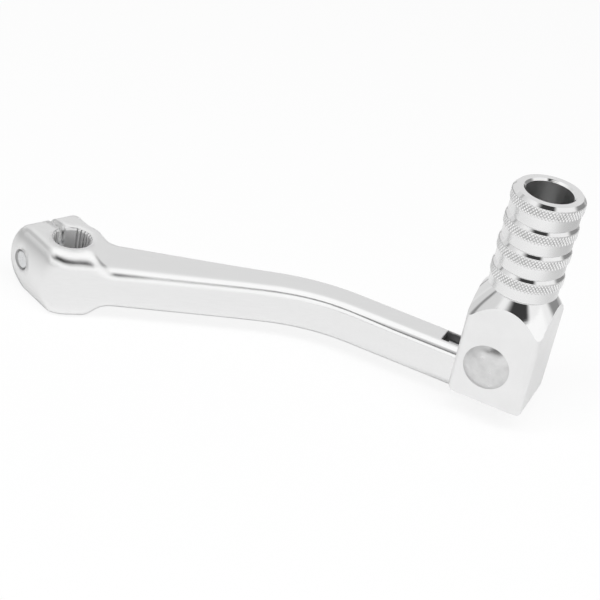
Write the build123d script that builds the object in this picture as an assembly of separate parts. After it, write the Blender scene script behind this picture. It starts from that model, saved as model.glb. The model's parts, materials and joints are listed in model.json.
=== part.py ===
import math
import os

from build123d import *

# A forged gear shift lever with a spring-loaded folding toe peg.
# The origin is the centre of the splined bore at mid height. +Z runs along the bore, to the
# side that the toe peg points to, and +X runs along the straight first stretch of the arm.
# All sizes are in millimetres and all angles in degrees.

# Clamp boss
boss_height = 20.5
boss_radius = 10.65  # also half the width over the two clamp jaws
boss_shift = 0.65  # boss and jaws beside the bore centre, to the threaded jaw
jaw_direction = 127.0  # direction of the clamp slot, turned from the arm
jaw_reach = 15.6  # bore centre to the round nose of the jaws, at mid height
jaw_edge_reach = 11.4  # bore centre to the same nose at the top face
jaw_lower_edge_reach = 9.2  # and at the bottom face
flank_depth = 0.3  # how far the threaded jaw's flank is ground into the round boss, at mid height
flank_crown = 2.0  # how much further it falls back at the top face
flank_lower_crown = 2.2  # and at the bottom face
flank_rounding = 2.0
bevel_reach = 6.8  # bore centre to the top edge of the bevel in front of the bore
bevel_direction = -80.0  # the way the bevel falls, turned from the arm
bevel_angle = 38.0
bevel_rounding = 2.5
bevel_foot = 0.3  # the bevel stops this far over the arm
slot_width = 2.2
forging_radius = 3.0  # rounding along the edges of the boss and the arm
back_blend_radius = 7.0  # in plan, from the jaws into the arm
front_blend_radius = 25.0

# Splined bore
spline_tip_radius = 5.35
spline_depth = 0.5
spline_teeth = 30
spline_groove_share = 0.56  # groove width at the tooth tips, as a share of the pitch
spline_groove_taper = 0.6  # groove width at the root over its width at the tips
plain_patch_angle = 20.0  # stretch beside the slot that has no grooves
bore_chamfer = 0.6

# Pinch bolt, M6 with a flanged hexagon head
bolt_radius = 2.95
bolt_thread_clearance = 0.05
bolt_passing_clearance = 0.3
bolt_end_chamfer = 0.55
bolt_end_recess = 0.4  # how far the bolt's end stays inside the jaw
bolt_axis_reach = 8.5  # bore centre to bolt axis, along the slot
bolt_height = 0.5  # bolt axis over the boss's mid height
bolt_flange_radius = 6.0
bolt_flange_height = 1.3
bolt_head_flats = 8.0
bolt_head_height = 5.0
bolt_head_chamfer = 0.6
bolt_seat_depth = 0.8  # depth of the flat seat under the bolt's flange

# Arm
arm_thickness = 12.4
arm_offset = -0.75  # arm's centreline beside the bore centre
arm_bend_reach = 72.3  # bore centre to the bend
arm_bend_angle = 27.1
arm_bend_radius = 55.0
arm_second_length = 56.55  # bend to pivot pin
arm_root_width = 19.4
arm_mid_to_bend = 22.3  # back from the bend to where the two tapers of the arm meet
arm_mid_width = 13.0
arm_mid_radius = 300.0  # easing where the two tapers of the arm meet
arm_bend_width = 11.6
arm_tongue_width = 11.4
arm_tongue_length = 18.0  # parallel stretch at the arm's end, up to the pivot
arm_tongue_easing = 80.0
ramp_start = 6.4  # where the boss begins to slope down to the arm
ramp_run = 4.6
ramp_crown_radius = 5.0
ramp_foot_radius = 7.0

# Pivot pin, a domed rivet
pin_radius = 4.0
pin_height = 8.5  # pin axis over the arm's mid plane
pin_seat_clearance = 0.02
pin_running_clearance = 0.08
pin_head_radius = 6.7
pin_dome_height = 1.9
pin_tail_radius = 5.6
pin_tail_height = 1.0
pin_tail_rounding = 0.6

# Return spring
wire_diameter = 1.6
coil_turns = 2.25
coil_gap = 0.05  # between neighbouring turns
coil_clearance = 0.8  # inside the coil, round the pin
coil_side_clearance = 0.3
coil_offset = 0.5  # coil's middle beside the arm's centreline
coil_rim = 0.2  # arm eye over the coil
lower_leg_length = 15.2
upper_leg_length = 8.6
leg_floor_clearance = 0.3
pocket_length = 16.4  # pivot to the far end of the spring's pocket in the arm

# Folding tip
fold_angle = 60.0
stop_gap = 0.2  # slot's end wall to the arm's end
slot_side_clearance = 0.3
fold_clearance = 0.5
block_width = 21.95  # along the arm
block_depth = 22.7  # along the pin
block_corner_radius = 2.0
block_bottom = 11.25  # pivot to the underside of the block
block_lower_chamfer = 1.6
block_lower_chamfer_height = 1.2
peg_offset = 1.5  # peg axis beyond the pivot
web_height = 9.7  # over the slot, up to the neck of the shoulder
shoulder_foot_radius = 15.5
shoulder_fall = 9.55  # neck to foot
shoulder_bulge = 0.45  # of the turned curve, over its chord
shoulder_neck_radius = 8.9

# Toe peg
peg_height = 51.8  # pivot to the top of the peg
ring_count = 4
ring_pitch = 7.5
ring_radius = 10.0
ring_plain_radius = 9.8
ring_plain_height = 3.0
ring_chamfer_height = 0.9
groove_radius = 9.2
groove_width = 0.4
peg_bore_radius = 6.7
peg_bore_depth = 27.0
peg_bore_chamfer = 0.6
peg_bore_point_angle = 118.0

# Worked out from the sizes above
boss_half = boss_height / 2
arm_half = arm_thickness / 2
arm_mid_reach = arm_bend_reach - arm_mid_to_bend
arm_top = arm_half - pin_height
coil_pitch = wire_diameter + coil_gap
coil_radius = pin_radius + coil_clearance + wire_diameter / 2
coil_outer_radius = coil_radius + wire_diameter / 2
coil_length = coil_turns * coil_pitch + wire_diameter
pocket_width = coil_length + 2 * coil_side_clearance
pocket_floor = -(coil_outer_radius + leg_floor_clearance)
eye_radius = coil_outer_radius + coil_rim
slot_wall = eye_radius + stop_gap
block_half = block_depth / 2
block_left = peg_offset - block_width / 2
fold_sine = math.sin(math.radians(fold_angle))
fold_cosine = math.cos(math.radians(fold_angle))
fold_tangent = fold_sine / fold_cosine
folded_arm_height = (arm_top * fold_sine - block_left) * fold_tangent + arm_top * fold_cosine
slot_top = folded_arm_height + fold_clearance
neck_height = slot_top + web_height
seat_to_slot = boss_radius - boss_shift - bolt_seat_depth
flank_reach = boss_radius + boss_shift - flank_depth
bolt_length = seat_to_slot + flank_reach - bolt_end_recess

bend_point = Vector(arm_bend_reach, arm_offset)
tip_direction = Vector(1, 0).rotate(Axis.Z, -arm_bend_angle)
pivot_point = bend_point + tip_direction * arm_second_length
reach_limit = 3 * (arm_bend_reach + arm_second_length)  # longer than the whole lever

jaw_plane = Plane((0, 0, 0), x_dir=Vector(1, 0).rotate(Axis.Z, jaw_direction), z_dir=(0, 0, 1))
tip_plane = Plane((pivot_point.X, pivot_point.Y, pin_height), x_dir=tip_direction, z_dir=(0, 0, 1))


# Points and outlines of the forged lever
def arm_side(side):
    half_bend = math.radians(arm_bend_angle / 2)
    across = Vector(math.sin(half_bend), math.cos(half_bend))
    corner = bend_point + across * (side * arm_bend_width / 2 / math.cos(half_bend))
    tongue_across = tip_direction.rotate(Axis.Z, 90) * (side * arm_tongue_width / 2)
    tongue_start = pivot_point - tip_direction * arm_tongue_length + tongue_across
    arm_end = pivot_point + tip_direction * arm_tongue_length + tongue_across
    root = Vector(0, arm_offset + side * arm_root_width / 2)
    middle = Vector(arm_mid_reach, arm_offset + side * arm_mid_width / 2)
    radii = [arm_mid_radius, arm_bend_radius + side * arm_bend_width / 2, arm_tongue_easing]
    return FilletPolyline(root, middle, corner, tongue_start, arm_end, radius=radii)


def lever_plan():
    back = arm_side(1)
    front = arm_side(-1)
    closing = [Line(back @ 1, front @ 1), Line(front @ 0, back @ 0)]
    arm = make_face(back.edges() + front.edges() + closing)
    jaws = Circle(boss_radius) + Pos(jaw_reach / 2, 0) * Rectangle(jaw_reach, 2 * boss_radius)
    plan = arm + jaw_plane * Pos(0, boss_shift) * jaws
    front_corner = plan.vertices().sort_by_distance((boss_radius / 3, -boss_radius))[0]
    plan = fillet(front_corner, front_blend_radius)
    back_corner = plan.vertices().sort_by_distance((boss_radius / 2, arm_offset + arm_root_width / 2))[0]
    return fillet(back_corner, back_blend_radius)


def lever_side():
    ramp_end = ramp_start + ramp_run
    upper = FilletPolyline(
        (-reach_limit, boss_half),
        (ramp_start, boss_half),
        (ramp_end, arm_half),
        (reach_limit, arm_half),
        radius=[ramp_crown_radius, ramp_foot_radius],
    )
    lower = mirror(upper, about=Plane.XZ)
    ends = [Line(upper @ 0, lower @ 0), Line(upper @ 1, lower @ 1)]
    return make_face(upper.edges() + lower.edges() + ends)


def jaw_side():
    edge_top = (jaw_edge_reach, boss_half)
    edge_bottom = (jaw_lower_edge_reach, -boss_half)
    outline = [
        ThreePointArc(edge_top, (jaw_reach, 0), edge_bottom),
        Polyline(edge_bottom, (-reach_limit, -boss_half), (-reach_limit, boss_half), edge_top),
    ]
    return make_face([edge for piece in outline for edge in piece.edges()])


def flank_side():
    edge_top = (flank_reach - flank_crown, boss_half)
    edge_bottom = (flank_reach - flank_lower_crown, -boss_half)
    outline = [
        ThreePointArc(edge_top, (flank_reach, 0), edge_bottom),
        Polyline(edge_bottom, (-reach_limit, -boss_half), (-reach_limit, boss_half), edge_top),
    ]
    return make_face([edge for piece in outline for edge in piece.edges()])


def forged_blank():
    plan = extrude(lever_plan(), boss_half, both=True)
    side = extrude(Plane.XZ * lever_side(), reach_limit, both=True)
    nose = extrude(jaw_plane * Plane.XZ * jaw_side(), reach_limit, both=True)
    return plan & side & nose


# The seams run along Y on the sloping top and along Z on the walls, and stay as they are.
def is_seam(edge):
    if edge.geom_type != GeomType.LINE:
        return False
    along = edge.tangent_at(0.5)
    return max(abs(along.Y), abs(along.Z)) > 0.999


def ground_flank(lever):
    ground = lever & extrude(jaw_plane * Plane.YZ * flank_side(), reach_limit, both=True)
    flank_point = jaw_plane.from_local_coords((bolt_axis_reach, flank_reach, 0))
    flank = ground.faces().sort_by_distance(flank_point)[0]
    return fillet(flank.edges(), flank_rounding)


# The top of the boss is ground off aslant in front of the bore, down to just over the arm.
def bevelled_front(lever):
    fall = Vector(1, 0).rotate(Axis.Z, bevel_direction)
    edge = Plane(fall * bevel_reach + Vector(0, 0, boss_half), x_dir=fall, z_dir=(0, 0, 1))
    slope = Plane(edge * Rot(0, bevel_angle, 0))
    room = Box(2 * reach_limit, 2 * reach_limit, boss_height, align=(Align.CENTER, Align.CENTER, Align.MIN))
    bevelled = lever - (slope * room & Pos(0, 0, arm_half + bevel_foot) * room)
    middle = slope.from_local_coords((bevel_rounding, 0, 0))
    bevel = bevelled.faces().sort_by_distance(middle)[0]
    return fillet(bevel.edges(), bevel_rounding)


def splined_bore():
    pitch = 360 / spline_teeth
    tip_half = math.radians(pitch * spline_groove_share / 2)
    root_half = tip_half * spline_groove_taper
    root_radius = spline_tip_radius + spline_depth
    slot_half = math.degrees(math.asin(slot_width / 2 / spline_tip_radius)) + pitch / 2
    outline = Circle(spline_tip_radius)
    for tooth in range(spline_teeth):
        from_slot = (tooth * pitch + 180) % 360 - 180
        if -slot_half - plain_patch_angle < from_slot < slot_half:
            continue
        groove = Polygon(
            (spline_tip_radius * math.cos(tip_half) - spline_depth, -spline_tip_radius * math.sin(tip_half)),
            (root_radius * math.cos(root_half), -root_radius * math.sin(root_half)),
            (root_radius * math.cos(root_half), root_radius * math.sin(root_half)),
            (spline_tip_radius * math.cos(tip_half) - spline_depth, spline_tip_radius * math.sin(tip_half)),
            align=None,
        )
        outline += Rot(0, 0, from_slot) * groove
    bore = extrude(jaw_plane * outline, boss_height, both=True)
    mouth = Cone(spline_tip_radius, spline_tip_radius + 2 * bore_chamfer, 2 * bore_chamfer)
    upper_mouth = Pos(0, 0, boss_half) * mouth
    return bore + upper_mouth + mirror(upper_mouth, about=Plane.XY)


# The bolt runs from its seat on the far jaw into the thread of the jaw beside the front flank.
bolt_seat = Plane(jaw_plane * Pos(bolt_axis_reach, -seat_to_slot, bolt_height) * Rot(-90, 0, 0))


def from_bolt_seat(radius, start, length):
    return bolt_seat * Pos(0, 0, start + length / 2) * Cylinder(radius, length)


def clamp_cuts():
    slot_length = jaw_reach + slot_width
    slot = jaw_plane * Pos(slot_length / 2, 0, 0) * Box(slot_length, slot_width, 2 * boss_height)
    passing_hole = from_bolt_seat(bolt_radius + bolt_passing_clearance, 0, seat_to_slot)
    threaded_hole = from_bolt_seat(bolt_radius + bolt_thread_clearance, seat_to_slot, 2 * boss_radius)
    seat_radius = bolt_flange_radius + bolt_passing_clearance
    seat = from_bolt_seat(seat_radius, -boss_radius, boss_radius)
    return slot + passing_hole + threaded_hole + seat


def arm_eye():
    lower_part = Pos(0, -pin_height / 2) * Rectangle(2 * eye_radius, pin_height)
    eye = Circle(eye_radius) + lower_part
    return tip_plane * extrude(Plane.XZ * eye, arm_tongue_width / 2, both=True)


def spring_pocket():
    length = pocket_length + 2 * eye_radius
    height = eye_radius + wire_diameter - pocket_floor
    middle = Pos(length / 2 - pocket_length, coil_offset, pocket_floor + height / 2)
    return tip_plane * middle * Box(length, pocket_width, height)


def along_pivot(radius, length):
    return tip_plane * Rot(90, 0, 0) * Cylinder(radius, length)


def lever_arm():
    blank = forged_blank()
    lever = fillet([edge for edge in blank.edges() if not is_seam(edge)], forging_radius)
    lever = bevelled_front(ground_flank(lever))
    beyond = tip_plane * Pos(eye_radius + arm_tongue_length / 2, 0, 0)
    lever -= beyond * Box(arm_tongue_length, 2 * arm_tongue_width, 2 * boss_height)
    lever += arm_eye()
    lever -= splined_bore()
    lever -= clamp_cuts()
    lever -= spring_pocket()
    return lever - along_pivot(pin_radius + pin_running_clearance, 2 * arm_tongue_width)


def pinch_bolt():
    shank = from_bolt_seat(bolt_radius, 0, bolt_length)
    shank_end = shank.edges().filter_by(GeomType.CIRCLE).sort_by_distance(bolt_seat.origin)[-1]
    shank = chamfer(shank_end, bolt_end_chamfer)
    flange = from_bolt_seat(bolt_flange_radius, -bolt_flange_height, bolt_flange_height)
    hexagon = RegularPolygon(bolt_head_flats / 2, 6, major_radius=False)
    head = bolt_seat * extrude(hexagon, -bolt_head_height)
    crown = from_bolt_seat(bolt_head_flats / 3**0.5, -bolt_head_height, bolt_head_height)
    crown_end = crown.edges().filter_by(GeomType.CIRCLE).sort_by_distance(bolt_seat.origin)[-1]
    return shank + flange + (head & chamfer(crown_end, bolt_head_chamfer))


def return_spring():
    half_length = coil_turns * coil_pitch / 2
    helix = Helix(coil_pitch, 2 * half_length, coil_radius)
    upper_leg = Line(helix @ 0 - Vector(0, upper_leg_length, 0), helix @ 0)
    lower_leg = Line(helix @ 1, helix @ 1 - Vector(lower_leg_length, 0, 0))
    wire = Wire([upper_leg.edge(), helix.edge(), lower_leg.edge()])
    section = Plane(wire @ 0, z_dir=wire % 0) * Circle(wire_diameter / 2)
    spring = sweep(section, path=wire, is_frenet=True, transition=Transition.TRANSFORMED)
    return tip_plane * Pos(0, coil_offset - half_length, 0) * Rot(-90, 0, 0) * spring


def pivot_pin():
    front = -block_half
    back = block_half
    tail = back + pin_tail_height
    outline = [
        Polyline((0, tail), (0, front - pin_dome_height)),
        TangentArc((0, front - pin_dome_height), (pin_head_radius, front), tangent=(1, 0)),
        Polyline(
            (pin_head_radius, front),
            (pin_radius, front),
            (pin_radius, back),
            (pin_tail_radius, back),
            (pin_tail_radius, tail - pin_tail_rounding),
            (pin_tail_radius - pin_tail_rounding, tail),
            (0, tail),
        ),
    ]
    face = make_face([edge for piece in outline for edge in piece.edges()])
    return tip_plane * revolve(face, Axis.Y)


def tip_block():
    outline = RectangleRounded(block_width, block_depth, block_corner_radius)
    block = Pos(0, 0, -block_bottom) * extrude(outline, block_bottom + neck_height)
    neck = (shoulder_neck_radius, neck_height)
    foot = (shoulder_foot_radius, neck_height - shoulder_fall)
    base = -2 * block_bottom
    turned = [
        SagittaArc(neck, foot, shoulder_bulge),
        Polyline(foot, (shoulder_foot_radius, base), (0, base), (0, neck_height), neck),
    ]
    face = make_face([edge for piece in turned for edge in piece.edges()])
    return block & revolve(Plane.XZ * face, Axis.Z)


def ring_profile(ring_top):
    ring_bottom = ring_top - ring_pitch + groove_width
    return [
        (groove_radius, ring_bottom),
        (ring_plain_radius, ring_bottom),
        (ring_plain_radius, ring_bottom + ring_plain_height),
        (ring_radius, ring_bottom + ring_plain_height),
        (ring_radius, ring_top - ring_chamfer_height),
        (groove_radius, ring_top),
    ]


def toe_peg():
    foot = neck_height - web_height / 2
    points = [(0, foot), (shoulder_neck_radius, foot), (shoulder_neck_radius, neck_height)]
    for ring in reversed(range(ring_count)):
        points += ring_profile(peg_height - ring * ring_pitch)
    points.append((0, peg_height))
    return revolve(Plane.XZ * Polygon(*points, align=None), Axis.Z)


def peg_bore():
    floor = peg_height - peg_bore_depth
    point = peg_bore_radius / math.tan(math.radians(peg_bore_point_angle / 2))
    mouth_radius = peg_bore_radius + peg_bore_chamfer
    outline = Polygon(
        (0, floor - point),
        (peg_bore_radius, floor),
        (peg_bore_radius, peg_height - peg_bore_chamfer),
        (mouth_radius, peg_height),
        (0, peg_height),
        align=None,
    )
    return revolve(Plane.XZ * outline, Axis.Z)


def tongue_slot():
    length = slot_wall - block_left + block_width
    width = arm_tongue_width + 2 * slot_side_clearance
    height = slot_top + 2 * block_bottom
    return Pos(slot_wall - length / 2, 0, slot_top - height / 2) * Box(length, width, height)


def lower_corner():
    outline = Polygon(
        (block_left, -block_bottom),
        (block_left + block_lower_chamfer, -block_bottom),
        (block_left, -block_bottom + block_lower_chamfer_height),
        align=None,
    )
    return extrude(Plane.XZ * outline, block_depth, both=True)


def folding_tip():
    turned = Pos(peg_offset, 0, 0) * (tip_block() + toe_peg() - peg_bore())
    tip = tip_plane * (turned - tongue_slot() - lower_corner())
    return tip - along_pivot(pin_radius + pin_seat_clearance, 2 * block_depth)


def main():
    nodes = {
        "lever_arm": lever_arm(),
        "pinch_bolt": pinch_bolt(),
        "folding_tip": folding_tip(),
        "pivot_pin": pivot_pin(),
        "return_spring": return_spring(),
    }
    os.makedirs("parts", exist_ok=True)
    for name, solid in nodes.items():
        export_step(solid, f"parts/{name}.step")


main()
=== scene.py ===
import json
import math

import bpy
from mathutils import Matrix, Vector


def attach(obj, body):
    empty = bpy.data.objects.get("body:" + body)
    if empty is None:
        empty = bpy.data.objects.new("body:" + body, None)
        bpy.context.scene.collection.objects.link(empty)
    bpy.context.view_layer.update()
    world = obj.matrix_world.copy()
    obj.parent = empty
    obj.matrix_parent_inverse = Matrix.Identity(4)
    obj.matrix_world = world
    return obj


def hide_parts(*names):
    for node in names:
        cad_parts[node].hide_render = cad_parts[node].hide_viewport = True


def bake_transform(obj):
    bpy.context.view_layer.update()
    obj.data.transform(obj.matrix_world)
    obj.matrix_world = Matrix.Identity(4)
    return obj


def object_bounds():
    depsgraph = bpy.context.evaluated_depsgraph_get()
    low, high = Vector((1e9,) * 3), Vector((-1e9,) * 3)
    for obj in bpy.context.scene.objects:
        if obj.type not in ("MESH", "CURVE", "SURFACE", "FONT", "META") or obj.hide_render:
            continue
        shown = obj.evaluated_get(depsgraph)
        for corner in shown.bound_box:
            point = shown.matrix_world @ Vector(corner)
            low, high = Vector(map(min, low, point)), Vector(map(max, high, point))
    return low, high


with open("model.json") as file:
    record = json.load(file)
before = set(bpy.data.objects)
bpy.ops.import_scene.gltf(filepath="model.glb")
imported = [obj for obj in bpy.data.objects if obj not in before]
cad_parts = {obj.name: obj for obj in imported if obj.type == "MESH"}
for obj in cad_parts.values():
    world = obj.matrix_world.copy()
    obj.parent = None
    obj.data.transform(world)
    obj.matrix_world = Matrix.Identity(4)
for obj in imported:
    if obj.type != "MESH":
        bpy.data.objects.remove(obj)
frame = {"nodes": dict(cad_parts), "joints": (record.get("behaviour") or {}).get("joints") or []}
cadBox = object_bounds()
nodes = frame["nodes"]
mm = 0.001  # the scene is in metres

foldJoint = frame["joints"][0]
pivot = Vector(foldJoint["pos_m"])
pinAxis = Vector(foldJoint["axis"])
armTurn = math.atan2(pinAxis.x, -pinAxis.y)  # how far the tip's end of the arm is turned from +X
tipDirection = Vector((math.cos(armTurn), math.sin(armTurn), 0))


# Helpers for the node trees
def linear(hexColour):
    parts = [int(hexColour[i:i + 2], 16) / 255 for i in (1, 3, 5)]
    lin = [c / 12.92 if c <= 0.04045 else ((c + 0.055) / 1.055) ** 2.4 for c in parts]
    return (*lin, 1.0)


def addNode(tree, kind, inputs=None, **settings):
    made = tree.nodes.new(kind)
    for name, value in settings.items():
        setattr(made, name, value)
    for key, value in (inputs or {}).items():
        if isinstance(value, bpy.types.Node):
            value = value.outputs[0]
        if isinstance(value, bpy.types.NodeSocket):
            tree.links.new(value, made.inputs[key])
        else:
            made.inputs[key].default_value = value
    return made


def newMaterial(name):
    material = bpy.data.materials.new(name)
    material.use_nodes = True
    material.node_tree.nodes.clear()
    return material, material.node_tree


def setFinish(obj, material):
    obj.data.materials.clear()
    obj.data.materials.append(material)


# Polished aluminium forging: buffed by hand, so it mirrors the studio with soft, slightly wavy edges
forging = {
    "bright": "#EFEFEF",
    "dull": "#E7E7E7",
    # painted light: the splined bore is given a lighter tone than the rest of the forging
    "boreTone": "#F4F4F4",
    "paintedShadeTone": "#B8B8B8",  # painted shade, in the spring's pocket and round the bolt's end
    "roughness": 0.11,
    "roughnessSwing": 0.03,  # up and down from mark to mark
    "markRange": (0.3, 0.7),  # the part of the noise that the swing spans
    "boreRoughness": 0.7,
    "paintedShadeRoughness": 0.5,
    "edgeSoftness": (4.2, 1.0),  # mm, how far the wheel drew the edges out: at the boss, past the bend
    "softFrom": 12.0,  # mm from the bore's axis
    "softTo": 75.0,
    "edgeStart": 0.5,  # mm outside the bore's rim, where that begins
    "edgeSamples": 8,
    "ridge": ((0, 40, 34), (40, 44, 14), (44, 90, 42)),  # degrees: from, to, the normal's climb between
    "ridgeFrom": (16.0, 26.0),  # mm from the bore's axis, where the crisp edge comes in
    "ridgeTo": (96.0, 82.0),  # and where it goes out again
    "buffLength": 9.0,  # mm, length of a buffing mark
    "buffWidth": 0.35,  # mm, drawn coarser than the real marks so that it shows
    "buffRelief": (0.04, 0.02),  # strength, and depth in mm
    "waveSize": 14.0,  # mm, slow waves that the buffing wheel leaves
    "waveRelief": (0.05, 0.6),
    "boreRadius": 5.95,  # mm, rim of the splined bore
    "boreFade": 0.25,  # mm, over which its finish comes in
    "boltPlace": (-9.95, 3.15, 0.5),  # mm, a point on the pinch bolt's axis
    "boltAxis": (-0.7986, -0.6018, 0.0),
    "boltRim": 3.12,  # mm
    "boltFade": 0.08,  # mm, to both sides of the rim
    "pocketMiddle": -0.5,  # mm, along the pin
    "pocketHalf": 3.05,  # mm
    "pocketStart": -16.6,  # mm, along the arm from the pivot
    "pocketTop": -2.45,  # mm, over the pivot
}


def forgedAluminium():
    s = forging
    material, tree = newMaterial("forgedAluminiumPolished")
    place = addNode(tree, "ShaderNodeTexCoord").outputs["Object"]
    lengthwise = 1 / (s["buffLength"] * mm)
    crosswise = 1 / (s["buffWidth"] * mm)
    along = addNode(tree, "ShaderNodeMapping", {
        "Vector": place, "Scale": (lengthwise, crosswise, crosswise),
    })
    marks = addNode(tree, "ShaderNodeTexNoise", {
        "Vector": along, "Scale": 1.0, "Detail": 3.0,
    }).outputs["Fac"]
    waves = addNode(tree, "ShaderNodeTexNoise", {
        "Vector": place, "Scale": 1 / (s["waveSize"] * mm), "Detail": 1.0,
    }).outputs["Fac"]
    flat = addNode(tree, "ShaderNodeVectorMath", {0: place, 1: (1, 1, 0)}, operation="MULTIPLY")
    reach = addNode(tree, "ShaderNodeVectorMath", {0: flat}, operation="LENGTH").outputs["Value"]
    inBore = addNode(tree, "ShaderNodeMapRange", {
        "Value": reach,
        "From Min": s["boreRadius"] * mm, "From Max": (s["boreRadius"] - s["boreFade"]) * mm,
    })

    # painted shade: a ring round the bolt's end, and the walls of the spring's pocket
    fromBolt = addNode(tree, "ShaderNodeVectorMath", {
        0: place, 1: Vector(s["boltPlace"]) * mm,
    }, operation="SUBTRACT")
    overBolt = addNode(tree, "ShaderNodeVectorMath", {
        0: fromBolt, 1: s["boltAxis"],
    }, operation="CROSS_PRODUCT")
    boltReach = addNode(tree, "ShaderNodeVectorMath", {0: overBolt}, operation="LENGTH").outputs["Value"]
    nearBolt = addNode(tree, "ShaderNodeMapRange", {
        "Value": boltReach,
        "From Min": (s["boltRim"] + s["boltFade"]) * mm,
        "From Max": (s["boltRim"] - s["boltFade"]) * mm,
    })
    fromPin = addNode(tree, "ShaderNodeVectorMath", {0: place, 1: pivot}, operation="SUBTRACT")
    sideways = addNode(tree, "ShaderNodeVectorMath", {
        0: fromPin, 1: pinAxis,
    }, operation="DOT_PRODUCT").outputs["Value"]
    aside = addNode(tree, "ShaderNodeMath", {
        0: sideways, 1: s["pocketMiddle"] * mm,
    }, operation="SUBTRACT")
    aside = addNode(tree, "ShaderNodeMath", {0: aside}, operation="ABSOLUTE")
    between = addNode(tree, "ShaderNodeMath", {0: aside, 1: s["pocketHalf"] * mm}, operation="LESS_THAN")
    onward = addNode(tree, "ShaderNodeVectorMath", {
        0: fromPin, 1: tipDirection,
    }, operation="DOT_PRODUCT").outputs["Value"]
    past = addNode(tree, "ShaderNodeMath", {
        0: onward, 1: s["pocketStart"] * mm,
    }, operation="GREATER_THAN")
    heights = addNode(tree, "ShaderNodeSeparateXYZ", {0: fromPin}).outputs["Z"]
    below = addNode(tree, "ShaderNodeMath", {0: heights, 1: s["pocketTop"] * mm}, operation="LESS_THAN")
    inPocket = addNode(tree, "ShaderNodeMath", {0: between, 1: past}, operation="MULTIPLY")
    inPocket = addNode(tree, "ShaderNodeMath", {0: inPocket, 1: below}, operation="MULTIPLY")
    paintedShade = addNode(tree, "ShaderNodeMath", {0: inPocket, 1: nearBolt}, operation="MAXIMUM")

    tone = addNode(tree, "ShaderNodeMix", {
        0: marks, 6: linear(s["dull"]), 7: linear(s["bright"]),
    }, data_type="RGBA").outputs[2]
    # painted light in the bore
    tone = addNode(tree, "ShaderNodeMix", {
        0: inBore, 6: tone, 7: linear(s["boreTone"]),
    }, data_type="RGBA").outputs[2]
    # painted shade darkens the pocket's walls and the ring round the bolt
    tone = addNode(tree, "ShaderNodeMix", {
        0: paintedShade, 6: tone, 7: linear(s["paintedShadeTone"]),
    }, data_type="RGBA").outputs[2]
    polish = addNode(tree, "ShaderNodeMapRange", {
        "Value": marks, "From Min": s["markRange"][0], "From Max": s["markRange"][1],
        "To Min": s["roughness"] - s["roughnessSwing"], "To Max": s["roughness"] + s["roughnessSwing"],
    })
    polish = addNode(tree, "ShaderNodeMix", {0: inBore, 2: polish, 3: s["boreRoughness"]})
    polish = addNode(tree, "ShaderNodeMix", {0: paintedShade, 2: polish, 3: s["paintedShadeRoughness"]})

    # edges drawn out by the wheel: wide at the boss, narrow past the bend, none in the bore
    outside = addNode(tree, "ShaderNodeMapRange", {
        "Value": reach,
        "From Min": s["boreRadius"] * mm, "From Max": (s["boreRadius"] + s["edgeStart"]) * mm,
    })
    softness = addNode(tree, "ShaderNodeMapRange", {
        "Value": reach, "From Min": s["softFrom"] * mm, "From Max": s["softTo"] * mm,
        "To Min": s["edgeSoftness"][0] * mm, "To Max": s["edgeSoftness"][1] * mm,
    })
    softness = addNode(tree, "ShaderNodeMath", {0: softness, 1: outside}, operation="MULTIPLY")
    drawn = addNode(tree, "ShaderNodeBevel", {"Radius": softness}, samples=s["edgeSamples"])

    # along the arm the upper edges keep a crisp ridge, with a soft crown to both sides of it
    upward = addNode(tree, "ShaderNodeSeparateXYZ", {0: drawn}).outputs["Z"]
    rise = addNode(tree, "ShaderNodeMath", {0: upward}, operation="ARCSINE")
    crisp = addNode(tree, "ShaderNodeMath", {0: rise, 1: 0.0}, operation="MINIMUM")
    for start, stop, climb in s["ridge"]:
        part = addNode(tree, "ShaderNodeMapRange", {
            "Value": rise, "From Min": math.radians(start), "From Max": math.radians(stop),
            "To Max": math.radians(climb),
        })
        crisp = addNode(tree, "ShaderNodeMath", {0: crisp, 1: part}, operation="ADD")
    onArm = 1.0
    for start, stop in (s["ridgeFrom"], s["ridgeTo"]):
        part = addNode(tree, "ShaderNodeMapRange", {
            "Value": reach, "From Min": start * mm, "From Max": stop * mm,
        })
        onArm = addNode(tree, "ShaderNodeMath", {0: onArm, 1: part}, operation="MULTIPLY")
    rise = addNode(tree, "ShaderNodeMix", {0: onArm, 2: rise, 3: crisp})
    upright = addNode(tree, "ShaderNodeMath", {0: rise}, operation="SINE")
    upright = addNode(tree, "ShaderNodeCombineXYZ", {"Z": upright})
    lying = addNode(tree, "ShaderNodeMath", {0: rise}, operation="COSINE")
    level = addNode(tree, "ShaderNodeVectorMath", {0: drawn, 1: (1, 1, 0)}, operation="MULTIPLY")
    level = addNode(tree, "ShaderNodeVectorMath", {0: level}, operation="NORMALIZE")
    level = addNode(tree, "ShaderNodeVectorMath", {0: level, "Scale": lying}, operation="SCALE")
    ridged = addNode(tree, "ShaderNodeVectorMath", {0: level, 1: upright}, operation="ADD")

    strength, depth = s["waveRelief"]
    slow = addNode(tree, "ShaderNodeBump", {
        "Height": waves, "Normal": ridged, "Strength": strength, "Distance": depth * mm,
    })
    strength, depth = s["buffRelief"]
    fine = addNode(tree, "ShaderNodeBump", {
        "Height": marks, "Normal": slow, "Strength": strength, "Distance": depth * mm,
    })
    surface = addNode(tree, "ShaderNodeBsdfPrincipled", {
        "Base Color": tone, "Metallic": 1.0, "Roughness": polish, "Normal": fine,
    })
    addNode(tree, "ShaderNodeOutputMaterial", {"Surface": surface})
    return material


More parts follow.
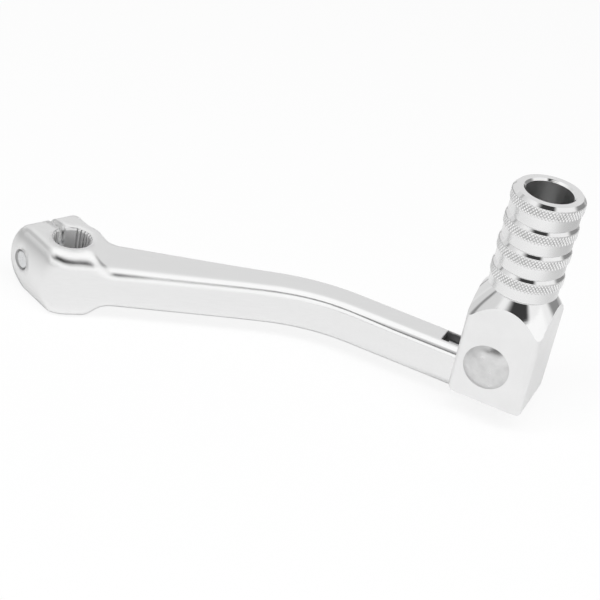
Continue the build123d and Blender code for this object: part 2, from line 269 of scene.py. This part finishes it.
# Turned aluminium: the peg and the block's cone come bright from the lathe, the sides are finely blasted
turned = {
    "bright": "#EFEFEF",
    "satin": "#F0F0F0",
    "cloud": "#E8E8E8",
    "boreTone": "#F2F2F2",
    "roughness": 0.06,
    "bandRoughness": 0.26,  # on the upright bands of the rings
    "satinRoughness": 0.3,
    "boreRoughness": 0.28,
    "lineSpacing": 0.3,  # mm, lathe lines, coarser than the real feed so that they show
    "lineScale": 0.314,  # the wave texture's own spacing at a scale of one
    "lineWaver": 0.4,
    "blastGrain": 0.5,  # mm
    "cloudSize": 6.0,  # mm
    "relief": (0.05, 0.03),  # strength, and depth in mm
    "blockTop": (20.9, 20.4),  # mm over the pivot, where the blasted sides come in
    "sideLean": (0.35, 0.2),  # upward part of the normal, below which a face counts as upright
    "pegOffset": 1.5,  # mm, peg axis beyond the pivot
    "pegBoreRadius": 6.78,  # mm
    "boreFade": 0.06,  # mm
}
pegFoot = pivot + tipDirection * (turned["pegOffset"] * mm)


def turnedAluminium():
    s = turned
    material, tree = newMaterial("turnedAluminiumBright")
    coords = addNode(tree, "ShaderNodeTexCoord").outputs
    local = addNode(tree, "ShaderNodeVectorMath", {0: coords["Object"], 1: pegFoot}, operation="SUBTRACT")
    apart = addNode(tree, "ShaderNodeSeparateXYZ", {0: local}).outputs
    facing = addNode(tree, "ShaderNodeSeparateXYZ", {0: coords["Normal"]}).outputs
    across = addNode(tree, "ShaderNodeCombineXYZ", {"X": apart["X"], "Y": apart["Y"]})
    reach = addNode(tree, "ShaderNodeVectorMath", {0: across}, operation="LENGTH").outputs["Value"]
    inBore = addNode(tree, "ShaderNodeMapRange", {
        "Value": reach,
        "From Min": s["pegBoreRadius"] * mm, "From Max": (s["pegBoreRadius"] - s["boreFade"]) * mm,
    })
    onBlock = addNode(tree, "ShaderNodeMapRange", {
        "Value": apart["Z"], "From Min": s["blockTop"][0] * mm, "From Max": s["blockTop"][1] * mm,
    })
    upright = addNode(tree, "ShaderNodeMapRange", {
        "Value": facing["Z"], "From Min": s["sideLean"][0], "From Max": s["sideLean"][1],
    })
    blasted = addNode(tree, "ShaderNodeMath", {0: onBlock, 1: upright}, operation="MULTIPLY")
    grain = addNode(tree, "ShaderNodeTexNoise", {
        "Vector": local, "Scale": 1 / (s["blastGrain"] * mm), "Detail": 4.0,
    }).outputs["Fac"]
    cloud = addNode(tree, "ShaderNodeTexNoise", {
        "Vector": local, "Scale": 1 / (s["cloudSize"] * mm), "Detail": 2.0,
    }).outputs["Fac"]
    lathe = addNode(tree, "ShaderNodeTexWave", {
        "Vector": local, "Scale": s["lineScale"] / (s["lineSpacing"] * mm),
        "Distortion": s["lineWaver"], "Detail": 1.0,
    }, bands_direction="Z").outputs["Fac"]
    tone = addNode(tree, "ShaderNodeMix", {
        0: blasted, 6: linear(s["bright"]), 7: linear(s["satin"]),
    }, data_type="RGBA").outputs[2]
    tone = addNode(tree, "ShaderNodeMix", {
        0: cloud, 6: tone, 7: linear(s["cloud"]),
    }, data_type="RGBA").outputs[2]
    tone = addNode(tree, "ShaderNodeMix", {
        0: inBore, 6: tone, 7: linear(s["boreTone"]),
    }, data_type="RGBA").outputs[2]
    polish = addNode(tree, "ShaderNodeMix", {0: upright, 2: s["roughness"], 3: s["bandRoughness"]})
    polish = addNode(tree, "ShaderNodeMix", {0: blasted, 2: polish, 3: s["satinRoughness"]})
    polish = addNode(tree, "ShaderNodeMix", {0: inBore, 2: polish, 3: s["boreRoughness"]})
    relief = addNode(tree, "ShaderNodeMix", {0: blasted, 2: lathe, 3: grain})
    strength, depth = s["relief"]
    bump = addNode(tree, "ShaderNodeBump", {
        "Height": relief, "Strength": strength, "Distance": depth * mm,
    })
    surface = addNode(tree, "ShaderNodeBsdfPrincipled", {
        "Base Color": tone, "Metallic": 1.0, "Roughness": polish, "Normal": bump,
    })
    addNode(tree, "ShaderNodeOutputMaterial", {"Surface": surface})
    return material


# Rivet steel: cold headed, then tumbled, so the head is dull, cloudy and dimpled, with a rolled rim
rivet = {
    "light": "#DCDCDC",
    "dark": "#D0D0D0",
    "roughness": 0.31,
    "roughnessSwing": 0.05,
    "polishRange": (0.3, 0.7),  # the part of the clouds that the swing spans
    "toneRange": (0.35, 0.65),  # and the part that the colours span
    "cloudSize": 3.0,  # mm
    "cloudRoughness": 0.6,
    "dimpleSize": 1.3,  # mm
    "relief": (0.15, 0.08),  # strength, and depth in mm
    "headRadius": 6.7,  # mm
    "rimSlope": 0.34,  # how much steeper the rim is than the plain dome
}


def tumbledSteel():
    s = rivet
    material, tree = newMaterial("rivetSteelTumbled")
    place = addNode(tree, "ShaderNodeTexCoord").outputs["Object"]
    clouds = addNode(tree, "ShaderNodeTexNoise", {
        "Vector": place, "Scale": 1 / (s["cloudSize"] * mm), "Detail": 5.0,
        "Roughness": s["cloudRoughness"],
    }).outputs["Fac"]
    dimples = addNode(tree, "ShaderNodeTexVoronoi", {
        "Vector": place, "Scale": 1 / (s["dimpleSize"] * mm),
    }, feature="SMOOTH_F1").outputs["Distance"]
    mottle = addNode(tree, "ShaderNodeMapRange", {
        "Value": clouds, "From Min": s["toneRange"][0], "From Max": s["toneRange"][1],
    })
    tone = addNode(tree, "ShaderNodeMix", {
        0: mottle, 6: linear(s["dark"]), 7: linear(s["light"]),
    }, data_type="RGBA").outputs[2]
    polish = addNode(tree, "ShaderNodeMapRange", {
        "Value": clouds, "From Min": s["polishRange"][0], "From Max": s["polishRange"][1],
        "To Min": s["roughness"] + s["roughnessSwing"], "To Max": s["roughness"] - s["roughnessSwing"],
    })

    # the rim's slope grows with the third power of the distance, so its height falls with the fourth
    fromPin = addNode(tree, "ShaderNodeVectorMath", {0: place, 1: pivot}, operation="SUBTRACT")
    across = addNode(tree, "ShaderNodeVectorMath", {0: fromPin, 1: pinAxis}, operation="CROSS_PRODUCT")
    reach = addNode(tree, "ShaderNodeVectorMath", {0: across}, operation="LENGTH").outputs["Value"]
    fourth = addNode(tree, "ShaderNodeMath", {0: reach, 1: 4.0}, operation="POWER")
    fall = addNode(tree, "ShaderNodeMath", {
        0: fourth, 1: -s["rimSlope"] / 4 / (s["headRadius"] * mm) ** 3,
    }, operation="MULTIPLY")
    rim = addNode(tree, "ShaderNodeBump", {"Height": fall, "Strength": 1.0, "Distance": 1.0})
    relief = addNode(tree, "ShaderNodeMath", {0: dimples, 1: clouds}, operation="ADD")
    strength, depth = s["relief"]
    bump = addNode(tree, "ShaderNodeBump", {
        "Height": relief, "Normal": rim, "Strength": strength, "Distance": depth * mm,
    })
    surface = addNode(tree, "ShaderNodeBsdfPrincipled", {
        "Base Color": tone, "Metallic": 1.0, "Roughness": polish, "Normal": bump,
    })
    addNode(tree, "ShaderNodeOutputMaterial", {"Surface": surface})
    return material


# Zinc plated steel: a thin bright coat over a headed bolt, faintly blue and cloudy
zinc = {
    "light": "#E6E7E8",
    "dark": "#D6D7D8",
    "roughness": (0.18, 0.36),  # on the dark and on the light spots
    "spangleSize": 1.6,  # mm
    "relief": (0.12, 0.04),  # strength, and depth in mm
}


def zincPlate():
    s = zinc
    material, tree = newMaterial("boltSteelZincPlated")
    place = addNode(tree, "ShaderNodeTexCoord").outputs["Object"]
    spangle = addNode(tree, "ShaderNodeTexNoise", {
        "Vector": place, "Scale": 1 / (s["spangleSize"] * mm), "Detail": 4.0,
    }).outputs["Fac"]
    tone = addNode(tree, "ShaderNodeMix", {
        0: spangle, 6: linear(s["dark"]), 7: linear(s["light"]),
    }, data_type="RGBA").outputs[2]
    polish = addNode(tree, "ShaderNodeMapRange", {
        "Value": spangle, "To Min": s["roughness"][0], "To Max": s["roughness"][1],
    })
    strength, depth = s["relief"]
    bump = addNode(tree, "ShaderNodeBump", {
        "Height": spangle, "Strength": strength, "Distance": depth * mm,
    })
    surface = addNode(tree, "ShaderNodeBsdfPrincipled", {
        "Base Color": tone, "Metallic": 1.0, "Roughness": polish, "Normal": bump,
    })
    addNode(tree, "ShaderNodeOutputMaterial", {"Surface": surface})
    return material


# Spring wire: drawn carbon steel, dull and finely mottled where oil has dried on it
spring = {
    "light": "#DEDEDF",
    "dark": "#B2B2B4",
    "roughness": 0.52,
    "mottleSize": 0.4,  # mm
    "relief": (0.15, 0.02),  # strength, and depth in mm
}


def drawnWire():
    s = spring
    material, tree = newMaterial("springSteelDrawn")
    place = addNode(tree, "ShaderNodeTexCoord").outputs["Object"]
    mottle = addNode(tree, "ShaderNodeTexNoise", {
        "Vector": place, "Scale": 1 / (s["mottleSize"] * mm), "Detail": 3.0,
    }).outputs["Fac"]
    tone = addNode(tree, "ShaderNodeMix", {
        0: mottle, 6: linear(s["dark"]), 7: linear(s["light"]),
    }, data_type="RGBA").outputs[2]
    strength, depth = s["relief"]
    bump = addNode(tree, "ShaderNodeBump", {
        "Height": mottle, "Strength": strength, "Distance": depth * mm,
    })
    surface = addNode(tree, "ShaderNodeBsdfPrincipled", {
        "Base Color": tone, "Metallic": 1.0, "Roughness": s["roughness"], "Normal": bump,
    })
    addNode(tree, "ShaderNodeOutputMaterial", {"Surface": surface})
    return material


setFinish(nodes["lever_arm"], forgedAluminium())
setFinish(nodes["folding_tip"], turnedAluminium())
setFinish(nodes["pivot_pin"], tumbledSteel())
setFinish(nodes["pinch_bolt"], zincPlate())
print("finishes set on", len(nodes) - 1, "parts")


def makeSpring(material):
    piece = bpy.data.objects.new("returnSpringWinding", nodes["return_spring"].data.copy())
    bpy.context.scene.collection.objects.link(piece)
    setFinish(piece, material)
    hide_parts("return_spring")
    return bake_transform(piece)


springPiece = makeSpring(drawnWire())
print("spring with", len(springPiece.data.polygons), "faces, winding up with the tip")


# Diamond knurl on the upper band of each ring of the toe peg, lengths in mm
knurl = {
    "ringRadius": 10.0,
    "ringCount": 4,
    "ringPitch": 7.5,
    "bandBottom": 25.2,  # lowest band over the pivot
    "teeth": 64,  # round the peg
    "rows": 4,
    "rowSpacing": 0.64,
    "toothHeight": 0.24,
    "tipShare": 0.2,  # flat left on top of a tooth
    "crest": "#F2F2F2",
    # painted shade in the valleys between the teeth
    "valley": "#C0C0C0",
    "roughness": 0.2,
    "valleyRoughness": 0.5,
    "unshadedShare": 0.7,  # of a tooth's height, from where it has no painted shade
    "shadeNoiseSize": 1.5,
    "shadeSwing": 0.2,  # how unevenly the painted shade reaches up the teeth
}


# Rolled into the turned aluminium: the crests shine, and the valleys are darkened with painted shade,
# reaching up unevenly
def knurledAluminium():
    s = knurl
    material, tree = newMaterial("knurledAluminiumRolled")
    place = addNode(tree, "ShaderNodeTexCoord").outputs["Object"]
    local = addNode(tree, "ShaderNodeVectorMath", {0: place, 1: pegFoot}, operation="SUBTRACT")
    flat = addNode(tree, "ShaderNodeVectorMath", {0: local, 1: (1, 1, 0)}, operation="MULTIPLY")
    reach = addNode(tree, "ShaderNodeVectorMath", {0: flat}, operation="LENGTH").outputs["Value"]
    unshadedRadius = s["ringRadius"] + s["unshadedShare"] * s["toothHeight"]
    raised = addNode(tree, "ShaderNodeMapRange", {
        "Value": reach, "From Min": s["ringRadius"] * mm, "From Max": unshadedRadius * mm,
    })
    shadeNoise = addNode(tree, "ShaderNodeTexNoise", {
        "Vector": local, "Scale": 1 / (s["shadeNoiseSize"] * mm), "Detail": 3.0,
    }).outputs["Fac"]
    shadeShift = addNode(tree, "ShaderNodeMapRange", {
        "Value": shadeNoise, "To Min": -s["shadeSwing"], "To Max": s["shadeSwing"],
    })
    unshaded = addNode(tree, "ShaderNodeMath", {0: raised, 1: shadeShift}, operation="ADD", use_clamp=True)
    # painted shade: darker towards the valleys
    tone = addNode(tree, "ShaderNodeMix", {
        0: unshaded, 6: linear(s["valley"]), 7: linear(s["crest"]),
    }, data_type="RGBA").outputs[2]
    polish = addNode(tree, "ShaderNodeMix", {0: unshaded, 2: s["valleyRoughness"], 3: s["roughness"]})
    surface = addNode(tree, "ShaderNodeBsdfPrincipled", {
        "Base Color": tone, "Metallic": 1.0, "Roughness": polish,
    })
    addNode(tree, "ShaderNodeOutputMaterial", {"Surface": surface})
    return material


# The points are numbered ring by ring, row by row; every second row is set off by half a tooth
def knurlTree(material):
    tree = bpy.data.node_groups.new("ringKnurl", "GeometryNodeTree")
    tree.is_modifier = True
    sockets = {}
    lengths = ("Ring Radius", "Ring Pitch", "Band Bottom", "Row Spacing", "Tooth Height", "Tip Share")
    counts = ("Rings", "Rows", "Teeth")
    places = ("Peg Foot",)
    for kind, names in (("Float", lengths), ("Int", counts), ("Vector", places)):
        kind = "NodeSocket" + kind
        for name in names:
            sockets[name] = tree.interface.new_socket(name, in_out="INPUT", socket_type=kind)
    tree.interface.new_socket("Geometry", in_out="OUTPUT", socket_type="NodeSocketGeometry")
    given = addNode(tree, "NodeGroupInput").outputs
    half = 0.5

    perRing = addNode(tree, "ShaderNodeMath", {0: given["Rows"], 1: given["Teeth"]}, operation="MULTIPLY")
    count = addNode(tree, "ShaderNodeMath", {0: perRing, 1: given["Rings"]}, operation="MULTIPLY")
    dots = addNode(tree, "GeometryNodePoints", {"Count": count})
    index = addNode(tree, "GeometryNodeInputIndex")
    ring = addNode(tree, "ShaderNodeMath", {0: index, 1: half}, operation="ADD")
    ring = addNode(tree, "ShaderNodeMath", {0: ring, 1: perRing}, operation="DIVIDE")
    ring = addNode(tree, "ShaderNodeMath", {0: ring}, operation="FLOOR")
    before = addNode(tree, "ShaderNodeMath", {0: ring, 1: perRing}, operation="MULTIPLY")
    inRing = addNode(tree, "ShaderNodeMath", {0: index, 1: before}, operation="SUBTRACT")
    row = addNode(tree, "ShaderNodeMath", {0: inRing, 1: half}, operation="ADD")
    row = addNode(tree, "ShaderNodeMath", {0: row, 1: given["Teeth"]}, operation="DIVIDE")
    row = addNode(tree, "ShaderNodeMath", {0: row}, operation="FLOOR")
    before = addNode(tree, "ShaderNodeMath", {0: row, 1: given["Teeth"]}, operation="MULTIPLY")
    tooth = addNode(tree, "ShaderNodeMath", {0: inRing, 1: before}, operation="SUBTRACT")
    stagger = addNode(tree, "ShaderNodeMath", {0: row, 1: 2.0}, operation="MODULO")
    stagger = addNode(tree, "ShaderNodeMath", {0: stagger, 1: half}, operation="MULTIPLY")
    step = addNode(tree, "ShaderNodeMath", {0: math.tau, 1: given["Teeth"]}, operation="DIVIDE")
    angle = addNode(tree, "ShaderNodeMath", {0: tooth, 1: stagger}, operation="ADD")
    angle = addNode(tree, "ShaderNodeMath", {0: angle, 1: step}, operation="MULTIPLY")
    bandHeight = addNode(tree, "ShaderNodeMath", {
        0: ring, 1: given["Ring Pitch"], 2: given["Band Bottom"],
    }, operation="MULTIPLY_ADD")
    upRows = addNode(tree, "ShaderNodeMath", {0: row, 1: 1.0}, operation="ADD")
    inBand = addNode(tree, "ShaderNodeMath", {0: upRows, 1: given["Row Spacing"]}, operation="MULTIPLY")
    height = addNode(tree, "ShaderNodeMath", {0: bandHeight, 1: inBand}, operation="ADD")
    cosine = addNode(tree, "ShaderNodeMath", {0: angle}, operation="COSINE")
    sine = addNode(tree, "ShaderNodeMath", {0: angle}, operation="SINE")
    outX = addNode(tree, "ShaderNodeMath", {0: given["Ring Radius"], 1: cosine}, operation="MULTIPLY")
    outY = addNode(tree, "ShaderNodeMath", {0: given["Ring Radius"], 1: sine}, operation="MULTIPLY")
    spot = addNode(tree, "ShaderNodeCombineXYZ", {"X": outX, "Y": outY, "Z": height})
    onPeg = addNode(tree, "ShaderNodeVectorMath", {0: spot, 1: given["Peg Foot"]}, operation="ADD")
    placed = addNode(tree, "GeometryNodeSetPosition", {"Geometry": dots, "Position": onPeg})

    # a tooth is a blunt pyramid with its tip pointing out
    pyramid = addNode(tree, "GeometryNodeMeshCone", {
        "Vertices": 4, "Radius Top": given["Tip Share"], "Radius Bottom": 1.0, "Depth": 1.0,
    })
    width = addNode(tree, "ShaderNodeMath", {0: step, 1: given["Ring Radius"]}, operation="MULTIPLY")
    width = addNode(tree, "ShaderNodeMath", {0: width, 1: half}, operation="MULTIPLY")
    shape = addNode(tree, "ShaderNodeCombineXYZ", {
        "X": given["Row Spacing"], "Y": width, "Z": given["Tooth Height"],
    })
    stood = addNode(tree, "GeometryNodeTransform", {
        "Geometry": pyramid.outputs["Mesh"], "Rotation": (0, math.pi / 2, 0), "Scale": shape,
    })
    turn = addNode(tree, "ShaderNodeCombineXYZ", {"Z": angle})
    teeth = addNode(tree, "GeometryNodeInstanceOnPoints", {
        "Points": placed, "Instance": stood, "Rotation": turn,
    })
    real = addNode(tree, "GeometryNodeRealizeInstances", {"Geometry": teeth})
    finished = addNode(tree, "GeometryNodeSetMaterial", {"Geometry": real, "Material": material})
    addNode(tree, "NodeGroupOutput", {0: finished})
    return tree, sockets


def makeKnurl(material):
    s = knurl
    tree, sockets = knurlTree(material)
    holder = bpy.data.objects.new("knurlHolder", bpy.data.meshes.new("knurlHolder"))
    bpy.context.scene.collection.objects.link(holder)
    modifier = holder.modifiers.new("knurl", "NODES")
    modifier.node_group = tree
    values = {
        "Ring Radius": s["ringRadius"] * mm,
        "Ring Pitch": s["ringPitch"] * mm,
        "Band Bottom": s["bandBottom"] * mm,
        "Row Spacing": s["rowSpacing"] * mm,
        "Tooth Height": s["toothHeight"] * mm,
        "Tip Share": s["tipShare"],
        "Rings": s["ringCount"],
        "Rows": s["rows"],
        "Teeth": s["teeth"],
        "Peg Foot": pegFoot,
    }
    for name, value in values.items():
        modifier[sockets[name].identifier] = value
    evaluated = holder.evaluated_get(bpy.context.evaluated_depsgraph_get())
    mesh = bpy.data.meshes.new_from_object(evaluated)
    bpy.data.objects.remove(holder)
    piece = bpy.data.objects.new("toePegKnurl", mesh)
    bpy.context.scene.collection.objects.link(piece)
    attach(piece, "tip")
    return piece


knurlPiece = makeKnurl(knurledAluminium())
print("knurl with", len(knurlPiece.data.polygons), "faces")


# Pale floor, and a dome that shows only in reflections: white, with soft-edged panels over one another
studio = {
    "floorSize": 6.0,  # m
    "floorGap": 0.05,  # mm under the lowest point
    "floorTone": "#F4F4F4",
    "shadowSeen": 0.13,  # share of the real shadow that the camera sees
    "shadowMirrored": 0.9,  # and that the metal mirrors
    "fallMiddle": 75.0,  # mm along X; in reflections the floor is painted darker to both sides of here, as painted shade
    "fallFrom": 97.0,  # mm from there
    "fallTo": 175.0,
    "fallShare": 0.42,
    "domeRadius": 1.6,  # m
    "domeFaces": (64, 32),
    "domeLevel": 1.0,
    "worldLevel": 0.34,  # how much light the world gives to dull surfaces
    "lampPlace": (0.05, -0.4, 0.95),  # m
    "lampSize": (1.9, 0.35),  # m
    "lampPower": 12.0,  # W
    # azimuth from +X, elevation, level; the angles in degrees: from, to, and the softness of both edges
    "panels": {
        "backWall": ((30, 134, 12, 12), (-30, 46, 8, 30), 0.83),
        "frontWindow": ((-150, -20, 14, 14), (-6, 36, 10, 5), 1.12),
        "overheadBox": ((-200, 200, 1, 1), (60, 95, 10, 1), 1.15),
        "cameraGap": ((-128, -60, 34, 16), (37, 66, 6, 4), 0.05),
        "doorway": ((-158, -118, 10, 10), (31, 40, 4, 3), 0.0),
        "rightGap": ((2, 40, 16, 14), (-4, 46, 8, 14), 0.3),
        "leftWall": ((136, 198, 10, 16), (-12, 50, 10, 14), 0.78),
        "leftGap": ((154, 162, 6, 6), (2, 40, 8, 12), 0.3),
    },
}


def makeFloor():
    s = studio
    half = s["floorSize"] / 2
    level = cadBox[0].z - s["floorGap"] * mm
    corners = [(-half, -half, level), (half, -half, level), (half, half, level), (-half, half, level)]
    mesh = bpy.data.meshes.new("studioFloor")
    mesh.from_pydata(corners, [], [(0, 1, 2, 3)])
    floor = bpy.data.objects.new("studioFloor", mesh)
    bpy.context.scene.collection.objects.link(floor)
    material, tree = newMaterial("paperFloorWhite")
    rays = addNode(tree, "ShaderNodeLightPath").outputs
    mirrored = addNode(tree, "ShaderNodeMath", {
        0: rays["Is Glossy Ray"], 1: 1 - s["shadowMirrored"],
    }, operation="MULTIPLY")
    share = addNode(tree, "ShaderNodeMath", {
        0: rays["Is Camera Ray"], 1: 1 - s["shadowSeen"], 2: mirrored,
    }, operation="MULTIPLY_ADD")
    place = addNode(tree, "ShaderNodeTexCoord").outputs["Object"]
    onward = addNode(tree, "ShaderNodeSeparateXYZ", {0: place}).outputs["X"]
    aside = addNode(tree, "ShaderNodeMath", {0: onward, 1: s["fallMiddle"] * mm}, operation="SUBTRACT")
    aside = addNode(tree, "ShaderNodeMath", {0: aside}, operation="ABSOLUTE")
    fall = addNode(tree, "ShaderNodeMapRange", {
        "Value": aside, "From Min": s["fallFrom"] * mm, "From Max": s["fallTo"] * mm,
        "To Max": s["fallShare"],
    })
    # painted shade, seen only in reflections
    darker = addNode(tree, "ShaderNodeMath", {0: fall, 1: rays["Is Glossy Ray"]}, operation="MULTIPLY")
    tone = addNode(tree, "ShaderNodeMix", {
        0: darker, 6: linear(s["floorTone"]), 7: (0, 0, 0, 1),
    }, data_type="RGBA").outputs[2]
    paper = addNode(tree, "ShaderNodeBsdfDiffuse", {"Color": tone})
    white = addNode(tree, "ShaderNodeEmission", {"Color": (1, 1, 1, 1), "Strength": 1.0})
    mixed = addNode(tree, "ShaderNodeMixShader", {0: share, 1: paper, 2: white})
    addNode(tree, "ShaderNodeOutputMaterial", {"Surface": mixed})
    setFinish(floor, material)


def makeDome():
    s = studio
    material, tree = newMaterial("studioDome")
    place = addNode(tree, "ShaderNodeTexCoord").outputs["Object"]
    aim = addNode(tree, "ShaderNodeVectorMath", {0: place}, operation="NORMALIZE")
    apart = addNode(tree, "ShaderNodeSeparateXYZ", {0: aim}).outputs
    rise = addNode(tree, "ShaderNodeMath", {0: apart["Z"]}, operation="ARCSINE")
    turn = addNode(tree, "ShaderNodeMath", {0: apart["Y"], 1: apart["X"]}, operation="ARCTAN2")
    level = s["domeLevel"]
    for azimuth, elevation, tone in s["panels"].values():
        cover = 1.0
        for angle, (start, stop, softStart, softStop) in ((turn, azimuth), (rise, elevation)):
            middle = math.radians((start + stop) / 2)
            half = math.radians((stop - start) / 2)
            away = addNode(tree, "ShaderNodeMath", {0: angle, 1: middle}, operation="SUBTRACT")
            away = addNode(tree, "ShaderNodeMath", {0: away, 1: math.pi, 2: -math.pi}, operation="WRAP")
            for sign, soft in ((-1, softStart), (1, softStop)):
                edge = math.radians(soft) / 2
                inside = addNode(tree, "ShaderNodeMapRange", {
                    "Value": away, "From Min": sign * (half + edge), "From Max": sign * (half - edge),
                }, interpolation_type="SMOOTHSTEP")
                cover = addNode(tree, "ShaderNodeMath", {0: cover, 1: inside}, operation="MULTIPLY")
        level = addNode(tree, "ShaderNodeMix", {0: cover, 2: level, 3: tone})
    glow = addNode(tree, "ShaderNodeEmission", {"Color": (1, 1, 1, 1), "Strength": level})
    addNode(tree, "ShaderNodeOutputMaterial", {"Surface": glow})
    segments, rings = s["domeFaces"]
    bpy.ops.mesh.primitive_uv_sphere_add(segments=segments, ring_count=rings, radius=s["domeRadius"])
    dome = bpy.context.object
    dome.name = "studioDome"
    setFinish(dome, material)
    dome.visible_camera = False
    dome.visible_diffuse = False
    dome.visible_transmission = False
    dome.visible_shadow = False


def makeWorld():
    world = bpy.data.worlds.new("studioWorld")
    world.use_nodes = True
    tree = world.node_tree
    tree.nodes.clear()
    rays = addNode(tree, "ShaderNodeLightPath").outputs
    direct = addNode(tree, "ShaderNodeMath", {
        0: rays["Is Camera Ray"], 1: rays["Is Glossy Ray"],
    }, operation="MAXIMUM")
    level = addNode(tree, "ShaderNodeMapRange", {
        "Value": direct, "To Min": studio["worldLevel"], "To Max": 1.0,
    })
    sky = addNode(tree, "ShaderNodeBackground", {"Color": (1, 1, 1, 1), "Strength": level})
    addNode(tree, "ShaderNodeOutputWorld", {"Surface": sky})
    bpy.context.scene.world = world


def makeLamp():
    s = studio
    data = bpy.data.lights.new("frontLamp", "AREA")
    data.shape = "RECTANGLE"
    data.size, data.size_y = s["lampSize"]
    data.energy = s["lampPower"]
    lamp = bpy.data.objects.new("frontLamp", data)
    middle = (cadBox[0] + cadBox[1]) / 2
    lamp.location = s["lampPlace"]
    lamp.rotation_euler = (middle - lamp.location).to_track_quat("-Z", "Y").to_euler()
    lamp.visible_camera = False
    lamp.visible_glossy = False
    bpy.context.scene.collection.objects.link(lamp)


makeFloor()
makeDome()
makeWorld()
makeLamp()
print("studio with", len(studio["panels"]), "panels")


# Camera at the photograph's place, solved from the bore's rim and the peg's rim
viewpoint = {
    "place": (10.4, -419.8, 252.85),  # mm
    "right": (0.9841, -0.0293, 0.1752),
    "up": (-0.1341, 0.5249, 0.8406),
    "lens": 100.8,  # mm
    "sensor": 36.0,  # mm
    "clipStart": 10.0,  # mm
}


def makeCamera():
    s = viewpoint
    data = bpy.data.cameras.new("photoCamera")
    data.lens = s["lens"]
    data.sensor_width = s["sensor"]
    data.clip_start = s["clipStart"] * mm
    camera = bpy.data.objects.new("photoCamera", data)
    right = Vector(s["right"]).normalized()
    up = Vector(s["up"])
    up = (up - right * up.dot(right)).normalized()
    turn = Matrix((right, up, right.cross(up))).transposed()
    camera.matrix_world = Matrix.Translation(Vector(s["place"]) * mm) @ turn.to_4x4()
    bpy.context.scene.collection.objects.link(camera)
    bpy.context.scene.camera = camera


makeCamera()
bpy.context.scene.view_settings.view_transform = "Standard"
print("camera set")
